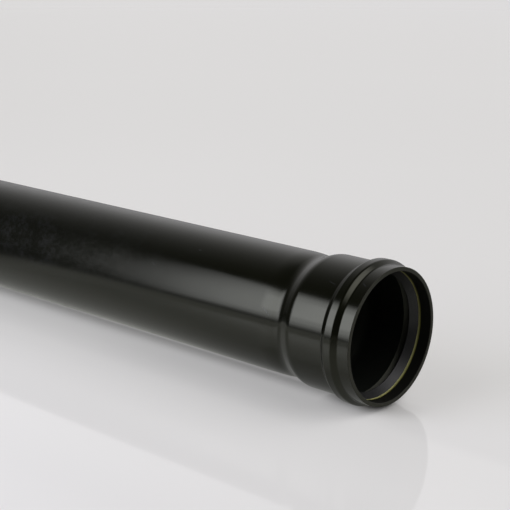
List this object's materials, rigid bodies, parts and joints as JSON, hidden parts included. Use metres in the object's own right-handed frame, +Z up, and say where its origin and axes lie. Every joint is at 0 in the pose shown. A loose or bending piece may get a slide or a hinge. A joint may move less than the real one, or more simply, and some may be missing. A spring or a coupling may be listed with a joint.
{
  "type": "soil pipe",
  "caption": "Straight length of black plastic soil pipe with a chamfered plain end and a push-fit ring-seal socket, lying on its side.",
  "frame": {"origin": "centre of the socket's mouth, on the pipe's axis", "axes": "+X along the pipe, out of the socket's mouth; +Z up. The wider bead carries the mouth end, so the pipe's axis falls 0.145 degrees towards the plain end as it lies on a level floor"},
  "size_m": [3.0002, 0.1246, 0.1251],
  "materials": {
    "pipe": "smooth extruded black plastic, semi-gloss, faint draw lines and light scuffs",
    "seal_ring": "matt moulded rubber, nearly black",
    "support_ring": "smooth moulded plastic, olive yellow"
  },
  "bodies": {
    "root": {"pipe": "pipe", "seal_ring": "seal_ring", "support_ring": "support_ring"}
  },
  "joints": []
}
